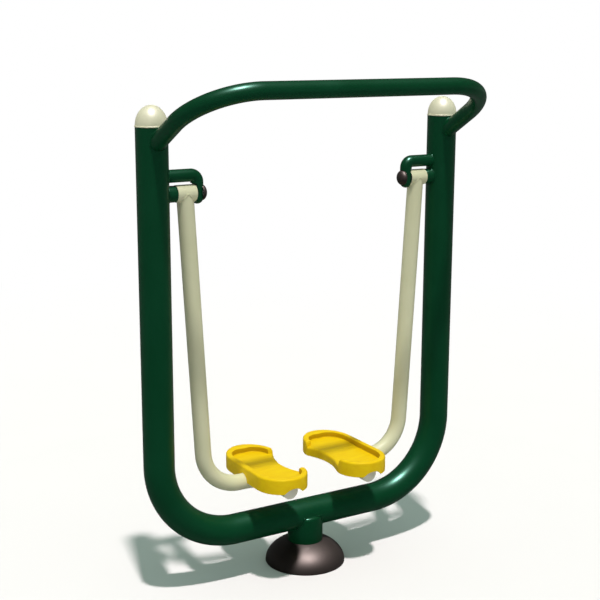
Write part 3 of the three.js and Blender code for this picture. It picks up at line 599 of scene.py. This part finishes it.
# away: how far off the lines towards an upright start; lift: of a bead's middle over its tube
weld = {"radius": 1.9, "fine": 1.6, "pitch": 3.2, "drop": 0.14, "away": 300, "saddleSteps": 60,
        "handleLift": 0.4, "pivotLift": 0.3, "armLift": 0.2}
loops = [
    ringOnCylinder(root + rise * weld["away"], -rise, handle["radius"] + weld["handleLift"], toUpright),
    ringOnCylinder((weld["away"], 0, top), (1, 0, 0), elbow["radius"] + weld["pivotLift"], toUpright),
    ringOnCylinder((weld["away"], 0, pivot["height"]), (1, 0, 0), pivot["stub"] + weld["pivotLift"], toUpright),
]
loops += [[Vector((-q.x, q.y, q.z)) for q in loop] for loop in loops]
saddle = []
for side in (1, -1):                                   # round the post, where the beam's underside meets it
    for i in range(weld["saddleSteps"] + 1):
        t = math.pi * i / weld["saddleSteps"] * side
        y = -mainFrame["radius"] * math.cos(t) * side
        z = beam - mainFrame["radius"] * abs(math.sin(t))
        saddle.append(Vector((side * math.sqrt(post["radius"] ** 2 - y * y), y, z)) * mm)
loops.append(saddle)
show("frame_welds", layBead("frame_welds", loops, weld["radius"], 3.0, greenCoat), None, "frame", "green_paint")
hang = Vector(armCorners[1]) - Vector(armCorners[0])
armLoop = ringOnCylinder(armCorners[0], hang, arm["radius"] + weld["armLift"], toHub)
showPair("arm_weld", layBead("arm_welds", [armLoop], weld["fine"], 8.0, creamCoat), creamCoat,
         "cream_paint", [], True)
print("welds laid")

# toe, heel: middle and half sizes of the two half ellipses of the plan. The foot of the skirt rises at the
# notch before notchFrom, and over the arm where x is past armSide; slope and ease shape both ends of the rise.
pedal = {
    "top": 344, "bottom": 298.5, "toeTread": 325, "heelTread": 327.5, "wall": 3, "skirt": 3.5, "roof": 4,
    "toe": (1, -85, 79, 84), "heel": (0, 80, 78, 98), "archSag": 23, "cornerEase": 42,
    "rimEndToe": -88, "rimEndHeel": 92, "endRun": 10, "rimWidth": 17, "heelGain": 19, "rimRound": 6,
    "rimLip": 3, "rimFoot": 1.6, "undercut": 1.2, "edgeRound": 8, "field": 23, "pastRim": 6, "skirtRound": 0.9,
    "roofRound": 1.5, "shadeFade": 0.8,
    "stepAt": 28, "stepRun": 24, "archSide": -20, "armSide": 50, "armZone": 60, "armRoom": 0.8, "armSlope": 4,
    "armEase": 3.5, "notchFrom": -120, "notchRadius": 38, "notchTop": 313.5, "notchSlope": 3, "notchEase": 5,
}
# points on each stretch of the plan, then passes and reach of the easing of its corners
outline = {"toe": 200, "heel": 220, "arch": 120, "passes": 3, "reach": 5, "toePasses": 6, "toeReach": 9}
# in mm: stations every so far, closer near the rim's ends and near the notch edges; then the tread's own points
net = {"every": 3, "nearRimEnd": 12, "notchEdge": 25, "nearNotch": 9,
       "columns": range(-70, 75, 10), "rows": range(-150, 165, 12), "stepRows": range(-13, 14, 2), "clear": 4}


def treadHeight(y):
    s = min(max((y - pedal["stepAt"]) / pedal["stepRun"] + 0.5, 0), 1)
    return pedal["toeTread"] + (pedal["heelTread"] - pedal["toeTread"]) * s * s * (3 - 2 * s)


# each point of a closed plan drawn towards the mean of its neighbours, by its weight
def eased(points, reach, weights):
    count, window = len(points), range(-reach, reach + 1)
    return [q.lerp(sum((points[(i + j) % count] for j in window), Vector((0, 0))) / len(window), weight)
            for i, (q, weight) in enumerate(zip(points, weights))]


# the plan of a pedal, anticlockwise, a point about every millimetre, corners eased
def pedalOutline():
    (tx, ty, ta, tb), (hx, hy, ha, hb) = pedal["toe"], pedal["heel"]
    turn = math.asin((pedal["rimEndHeel"] - hy) / hb)
    coarse = [Vector((tx + ta * math.cos(t), ty + tb * math.sin(t)))
              for t in (math.pi * (1 + i / outline["toe"]) for i in range(outline["toe"] + 1))]
    coarse += [Vector((hx + ha * math.cos(t), hy + hb * math.sin(t)))
               for t in ((math.pi - turn) * i / outline["heel"] for i in range(outline["heel"] + 1))]
    span, middle = (pedal["rimEndHeel"] - ty) / 2, (pedal["rimEndHeel"] + ty) / 2
    radius = (span ** 2 + pedal["archSag"] ** 2) / (2 * pedal["archSag"])
    reach = math.asin(span / radius)
    coarse += [Vector((tx - ta + pedal["archSag"] - radius + radius * math.cos(t), middle + radius * math.sin(t)))
               for t in (reach * (1 - 2 * i / outline["arch"]) for i in range(1, outline["arch"]))]
    closed = coarse + [coarse[0]]
    lengths = [0]
    for one, two in zip(closed, closed[1:]):
        lengths.append(lengths[-1] + (two - one).length)
    count = round(lengths[-1])
    points, j = [], 0
    for i in range(count):
        at = lengths[-1] * i / count
        while lengths[j + 1] < at:
            j += 1
        share = (at - lengths[j]) / max(lengths[j + 1] - lengths[j], 1e-9)
        points.append(closed[j].lerp(closed[j + 1], share))
    for _ in range(outline["passes"]):                 # both corners of the arch
        points = eased(points, outline["reach"], [1] * count)
    toeCorner = Vector((tx - ta, ty))
    for _ in range(outline["toePasses"]):              # and the one at the toe some more
        near = [max(1 - (q - toeCorner).length / pedal["cornerEase"], 0) for q in points]
        points = eased(points, outline["toeReach"], [min(2 * weight, 1) for weight in near])
    return points


# the greater of the two, with the change from one to the other eased
def softMax(one, two, ease):
    share = min(max(0.5 + 0.5 * (one - two) / ease, 0), 1)
    return two + (one - two) * share + ease * share * (1 - share) / 2


# height of the skirt's lower edge: it rises over the arm and before its end
def skirtFoot(at):
    foot, x, y = pedal["bottom"], abs(at.x), abs(at.y)
    if at.y < pedal["notchFrom"]:
        room = pedal["notchRadius"]
        rise = pedal["notchTop"] - room + math.sqrt(max(room ** 2 - x * x, 0))
        foot = softMax(foot, rise - max(x - room, 0) * pedal["notchSlope"], pedal["notchEase"])
    if at.x > pedal["armSide"] and y < pedal["armZone"]:
        room = arm["radius"] + pedal["armRoom"]
        rise = arm["foot"] + math.sqrt(max(room ** 2 - y * y, 0))
        foot = softMax(foot, rise - max(y - room, 0) * pedal["armSlope"], pedal["armEase"])
    return foot


# 1 where the rim stands, 0 along the arch, rounded off between
def rimShare(at):
    if at.x > pedal["archSide"]:
        return 1
    inside = min(at.y - pedal["rimEndToe"], pedal["rimEndHeel"] - at.y)
    if inside >= 0:
        return 0
    return math.sqrt(1 - (1 - min(-inside / pedal["endRun"], 1)) ** 2)


# outer skin from the skirt's foot over the rim to the tread: (inset, height, painted shade that darkens the rim's
# inner wall under the lip). Along the arch there is no rim, and the same rings spread over the tread.
def skinProfile(tread, foot, share, width):
    rim, arch = [], []
    edge, top, lip, shadeMark = pedal["edgeRound"], pedal["top"], pedal["rimLip"], pedal["shadeFade"]
    field = max(pedal["field"], width + pedal["pastRim"])
    for i in range(7):                                 # outer shoulder
        t = math.pi / 2 * i / 6
        over, under = 1 - math.cos(t), 1 - math.sin(t)
        rim.append((pedal["rimRound"] * over, top - pedal["rimRound"] * under, 0))
        arch.append((edge * over, tread - edge * under, 0))
    for i in range(6):                                 # inner lip, where the painted shade begins
        t = math.pi / 2 * i / 5
        rim.append((width - lip * (1 - math.sin(t)), top - lip * (1 - math.cos(t)), shadeMark * (i / 5) ** 3))
        arch.append((edge + 1 + (14 - edge) * i / 5, tread, 0))
    for i in range(6):                                 # foot of the inner wall, where the painted shade is darkest
        t = math.pi / 2 * i / 5
        rim.append((width - pedal["undercut"] + pedal["rimFoot"] * (1 - math.cos(t)),
                    tread + pedal["rimFoot"] * (1 - math.sin(t)), 1 - shadeMark * (i / 5) ** 2))
        arch.append((15.5 + 0.9 * i, tread, 0))
    rim.append((field, tread, 0))
    arch.append((field, tread, 0))
    blended = [tuple(one + (two - one) * share for one, two in zip(low, high)) for low, high in zip(arch, rim)]
    ease = pedal["skirtRound"]
    return [(ease, foot, 0), (0, foot + ease, 0), (0, (foot + tread) / 2, 0)] + blended


# inner skin from the skirt's foot under the rim to the underside of the tread
def hollowProfile(tread, foot, share, width):
    under = tread - pedal["wall"]
    roof = under + (pedal["top"] - pedal["roof"] - under) * share
    skirt, inner = pedal["skirt"], width - pedal["skirt"] - pedal["undercut"]
    ease, turn = pedal["skirtRound"], pedal["roofRound"]
    skin = [(skirt - ease, foot), (skirt, foot + ease), (skirt, (foot + under) / 2),
            (skirt, roof - turn * share), (skirt + turn, roof), (inner - turn, roof), (inner, roof - turn * share),
            (inner, under + 0.5 * share), (inner + 1, under),
            (max(pedal["field"], width + pedal["pastRim"]), under)]
    return [(inset, height, 0) for inset, height in skin]


def insideLoop(spot, loop):
    hit = False
    for one, two in zip(loop, loop[1:] + loop[:1]):
        if (one.y > spot.y) != (two.y > spot.y):
            if spot.x < one.x + (spot.y - one.y) / (two.y - one.y) * (two.x - one.x):
                hit = not hit
    return hit


def pedalShell(line):
    count = len(line)
    keep = []                                          # stations: dense at the rim's ends and notches
    for i, at in enumerate(line):
        toEnd = min(abs(at.y - pedal["rimEndToe"]), abs(at.y - pedal["rimEndHeel"]))
        toNotch = abs(abs(at.y) - net["notchEdge"])
        if i % net["every"] == 0 or (at.x < pedal["archSide"] and toEnd < net["nearRimEnd"]) \
                or (at.x > pedal["armSide"] and toNotch < net["nearNotch"]):
            keep.append(i)
    # corners: the painted shade of every point, darkest on the inner wall of the rim
    verts, corners, faces, outer, inner = [], [], [], [], []
    for i in keep:
        at = line[i]
        along = (line[(i + 2) % count] - line[i - 2]).normalized()
        inward = Vector((-along.y, along.x))
        tread, foot, share = treadHeight(at.y), skirtFoot(at), rimShare(at)
        width = pedal["rimWidth"] + pedal["heelGain"] * max(-inward.y, 0) ** 3     # broader round the heel
        for profile, loops in ((skinProfile(tread, foot, share, width), outer),
                               (hollowProfile(tread, foot, share, width), inner)):
            if not loops:
                loops += [[] for _ in profile]
            for loop, (inset, height, corner) in zip(loops, profile):
                q = at + inward * inset
                loop.append(len(verts))
                verts.append(Vector((q.x, q.y, height)))
                corners.append(corner)
    rings = list(reversed(inner)) + outer
    for low, high in zip(rings, rings[1:]):
        for i in range(len(keep)):
            j = (i + 1) % len(keep)
            faces.append((low[i], low[j], high[j], high[i]))
    rows = [*net["rows"], *(pedal["stepAt"] + y for y in net["stepRows"])]
    for ring, drop in ((outer[-1], 0), (inner[-1], pedal["wall"])):     # the tread and its underside
        for index in ring:
            verts[index].z = treadHeight(verts[index].y) - drop
        edge = [verts[i].xy for i in ring]
        spots = [Vector((x, y)) for y in rows for x in net["columns"]]
        spots = [spot for spot in spots
                 if min((spot - q).length for q in edge) > net["clear"] and insideLoop(spot, edge)]
        flat, _, cells, origin, _, _ = delaunay_2d_cdt(edge + spots, [], [list(range(len(edge)))], 1, 1e-5)
        known = {}
        for i, (q, source) in enumerate(zip(flat, origin)):
            if source and source[0] < len(edge):
                known[i] = ring[source[0]]
            else:
                known[i] = len(verts)
                verts.append(Vector((q.x, q.y, treadHeight(q.y) - drop)))
                corners.append(0)
        for cell in cells:
            cell = [known[i] for i in cell]
            faces.append(cell[::-1] if drop else cell)
    move = Vector((arm["pedalX"], 0, 0))
    mesh = meshOf("pedal_shell", [(q + move) * mm for q in verts], faces)
    # the painted shade goes to the finish as the point attribute corner
    mesh.attributes.new("corner", "FLOAT", "POINT").data.foreach_set("value", corners)
    return finishMesh(mesh, 42)


plan = pedalOutline()
showPair("pedal_shell", pedalShell(plan), yellowPlastic, "yellow_plastic", ["pedal"], True)


# straight lines from end to end, in mm of the pedal's plan, for a tree to dress
def linesMesh(pairs):
    points = [Vector((arm["pedalX"] + x, y, z)) * mm for pair in pairs for x, y, z in pair]
    return meshOf("lines", points, [], [(i, i + 1) for i in range(0, len(points), 2)])


# noRibs: below each y, the two x between which the arm leaves no room for a rib
under = {"rows": range(-150, 151, 50), "thickness": 3, "depth": 8, "edge": 3, "sunk": 0.2, "least": 4,
         "noRibs": [(-60, -25.5, 25.5), (-30, -23.5, 31), (30, -27, 200)], "boss": 9, "bossFoot": 309.8}
ribLines = []
for y in under["rows"]:
    xs = sorted(one.x + (y - one.y) / (two.y - one.y) * (two.x - one.x)
                for one, two in zip(plan, plan[1:] + plan[:1]) if (one.y > y) != (two.y > y))
    left, right = xs[0] + under["edge"], xs[-1] - under["edge"]
    level = treadHeight(y) - pedal["wall"] - under["depth"] / 2 + under["sunk"]
    spans = [(left, right)]
    for limit, low, high in reversed(under["noRibs"]):
        if y < limit:
            spans = [(left, low), (high, right)]
    ribLines += [((x0, y, level), (x1, y, level)) for x0, x1 in spans if x1 - x0 > under["least"]]
ribMesh = throughTree("pedal_ribs", ribs, linesMesh(ribLines), {
    "Thickness": under["thickness"] * mm, "Depth": under["depth"] * mm, "Finish": yellowPlastic}, 30)
showPair("pedal_ribs", ribMesh, yellowPlastic, "yellow_plastic", [], True)

boltPlaces = [(-27, 96), (27, 96), (-35, -60), (47, -88)]
bossLines = [((x, y, under["bossFoot"]), (x, y, treadHeight(y) - pedal["wall"] + under["sunk"]))
             for x, y in boltPlaces]
bossMesh = throughTree("pedal_bosses", tubes, linesMesh(bossLines), {
    "Radius": under["boss"] * mm, "Sides": 32, "Finish": yellowPlastic}, 30)
showPair("pedal_bosses", bossMesh, yellowPlastic, "yellow_plastic", [], True)

bolt = {"seat": 304.2, "across": 13, "head": 5, "flange": 8.5, "flangeHeight": 1.2, "shank": 4, "length": 8}
places = meshOf("places", [Vector((arm["pedalX"] + x, y, bolt["seat"])) * mm for x, y in boltPlaces], [])
boltMesh = throughTree("pedal_bolts", bolts, places, {
    "Head Radius": bolt["across"] / math.sqrt(3) * mm, "Head Height": bolt["head"] * mm,
    "Flange Radius": bolt["flange"] * mm, "Flange Height": bolt["flangeHeight"] * mm,
    "Shank Radius": bolt["shank"] * mm, "Shank Length": bolt["length"] * mm, "Finish": zincSteel}, 30)
showPair("pedal_bolts", boltMesh, zincSteel, "zinc_steel", [f"pedal_bolt_{i}" for i in range(1, 5)], True)
print("pedals made")

# pieces that show as they come, each with a finish
kept = {
    "base_flange": greenCoat, "base_gusset": greenCoat, "heel_bracket": creamCoat, "toe_bracket": creamCoat,
    "pivot_axle": zincSteel, "stop_pin": zincSteel, "bearing_sleeve": zincSteel, "axle_nut": zincSteel,
    "inner_race": bearingSteel, "outer_race": bearingSteel,
}
for name, obj in frame["nodes"].items():
    coat = next((mat for key, mat in kept.items() if key in name), None)
    if coat:
        obj.data.materials.clear()
        obj.data.materials.append(coat)


# one shader or the other, by a share between 0 and 1
def mixed(tree, share, one, two):
    return addNode(tree, "ShaderNodeMixShader", feeds={0: share, 1: one.outputs[0], 2: two.outputs[0]})


# the floor, in metres: between fadeFrom and fadeTo from the middle it runs out into white
ground = {"edge": 60, "fadeFrom": 1.4, "fadeTo": 4.5, "tones": [(0.530, 0.670, 0.610), (0.542, 0.684, 0.624)],
          "back": (0.22, 0.28, 0.26), "backInGloss": (0.075, 0.095, 0.09)}
edge = ground["edge"]
floorMesh = meshOf("floor", [(-edge, -edge, 0), (edge, -edge, 0), (edge, edge, 0), (-edge, edge, 0)], [(0, 1, 2, 3)])
floorMat = bpy.data.materials.new("paleFloor")
floorMat.use_nodes = True
tree = floorMat.node_tree
where = tree.nodes.new("ShaderNodeTexCoord").outputs["Object"]
ray = tree.nodes.new("ShaderNodeLightPath").outputs
grain = addNode(tree, "ShaderNodeTexNoise", {"Scale": 2.5}, {"Vector": where})
ramp = addNode(tree, "ShaderNodeValToRGB", feeds={"Fac": grain.outputs["Fac"]})
for stop, tone in zip(ramp.color_ramp.elements, ground["tones"]):
    stop.color = (*tone, 1)
near = tree.nodes["Principled BSDF"]
fill(tree, near, {"Roughness": 0.9, "Specular IOR Level": 0}, {"Base Color": ramp.outputs["Color"]})
distance = addNode(tree, "ShaderNodeVectorMath", feeds={0: where}, operation="LENGTH")
fade = addNode(tree, "ShaderNodeMapRange", {"From Min": ground["fadeFrom"], "From Max": ground["fadeTo"]},
               {"Value": distance.outputs["Value"]})
seenFloor = mixed(tree, fade.outputs["Result"], near, addNode(tree, "ShaderNodeEmission", {"Strength": 1}))
back = addNode(tree, "ShaderNodeMix", {"A": (*ground["back"], 1), "B": (*ground["backInGloss"], 1)},
               {"Factor": ray["Is Glossy Ray"]}, data_type="RGBA")     # what other surfaces get from it
quietFloor = addNode(tree, "ShaderNodeBsdfDiffuse", feeds={"Color": back.outputs["Result"]})
whole = mixed(tree, ray["Is Camera Ray"], quietFloor, seenFloor)
fill(tree, tree.nodes["Material Output"], feeds={"Surface": whole.outputs[0]})
floorMesh.materials.append(floorMat)
floor = place("floor", floorMesh)

# a soft sky that gloss sees dimmer, and a white backdrop for the camera and, low down, for gloss
sky = {"colour": (0.97, 1.0, 0.97), "strength": 0.5, "inGloss": 0.085, "bandTop": 0.06, "bandShare": 0.33}
world = bpy.data.worlds.new("studio")
bpy.context.scene.world = world
world.use_nodes = True
tree = world.node_tree
ray = tree.nodes.new("ShaderNodeLightPath").outputs
level = addNode(tree, "ShaderNodeMapRange", {"To Min": sky["strength"], "To Max": sky["inGloss"]},
                {"Value": ray["Is Glossy Ray"]})
soft = tree.nodes["Background"]
fill(tree, soft, {"Color": (*sky["colour"], 1)}, {"Strength": level.outputs["Result"]})
white = addNode(tree, "ShaderNodeBackground", {"Color": (1, 1, 1, 1), "Strength": 1})
way = addNode(tree, "ShaderNodeSeparateXYZ", feeds={
    "Vector": tree.nodes.new("ShaderNodeTexCoord").outputs["Object"]})
band = addNode(tree, "ShaderNodeMapRange", {
    "From Min": 0, "From Max": sky["bandTop"], "To Min": sky["bandShare"], "To Max": 0}, {"Value": way.outputs["Z"]})
inGloss = maths(tree, "MULTIPLY", ray["Is Glossy Ray"], band.outputs["Result"])
whole = mixed(tree, maths(tree, "MAXIMUM", ray["Is Camera Ray"], inGloss), soft, white)
fill(tree, tree.nodes["World Output"], feeds={"Surface": whole.outputs[0]})

# three lamps in one place: on everything, on the floor alone to whiten it, and one for the gloss of shiny pieces
lamps = {
    "key": {"energy": 1.95, "angle": 2.7, "colour": (1.0, 0.99, 0.96)},
    "floorLight": {"energy": 2.6, "angle": 2.7, "colour": (1.0, 0.50, 0.65)},
    "glint": {"energy": 9.6, "angle": 5.0, "colour": (1.0, 0.84, 0.84)},
}
lampWay = Vector((-0.08, -0.291, 1))
shiny = [obj for obj in bpy.context.scene.objects
         if obj.active_material in (greenCoat, creamPlastic, darkPlastic) and obj.name not in frame["nodes"]]
receivers = {"floorLight": [floor], "glint": shiny}
for name, made in lamps.items():
    lamp = bpy.data.lights.new(name, "SUN")
    lamp.energy = made["energy"]
    lamp.color = made["colour"]
    lamp.angle = math.radians(made["angle"])
    lampObject = place(name, lamp)
    lampObject.rotation_euler = lampWay.to_track_quat("Z", "Y").to_euler()
    if name in receivers:
        only = bpy.data.collections.new(name + "Only")
        for obj in receivers[name]:
            only.objects.link(obj)
        lampObject.light_linking.receiver_collection = only
bpy.data.objects["glint"].visible_diffuse = False

view = {"place": (-1.8312, -2.989503, 1.599394), "pitch": 12.48534, "yaw": 31.19288, "roll": 0.1967,
        "lens": 72.7546, "sensor": 36, "clip": 200}
pitch, yaw, roll = (math.radians(view[name]) for name in ("pitch", "yaw", "roll"))
ahead = Vector((math.sin(yaw) * math.cos(pitch), math.cos(yaw) * math.cos(pitch), -math.sin(pitch)))
right = Vector((math.cos(yaw), -math.sin(yaw), 0))
upward = right.cross(ahead)
right, upward = right * math.cos(roll) + upward * math.sin(roll), upward * math.cos(roll) - right * math.sin(roll)
eye = bpy.data.cameras.new("eye")
eye.lens = view["lens"]
eye.sensor_width = view["sensor"]
eye.clip_end = view["clip"]
camera = place("eye", eye)
camera.matrix_world = Matrix.Translation(view["place"]) @ Matrix((right, upward, -ahead)).transposed().to_4x4()
bpy.context.scene.camera = camera
bpy.context.scene.view_settings.view_transform = "Standard"
print("scene lit")
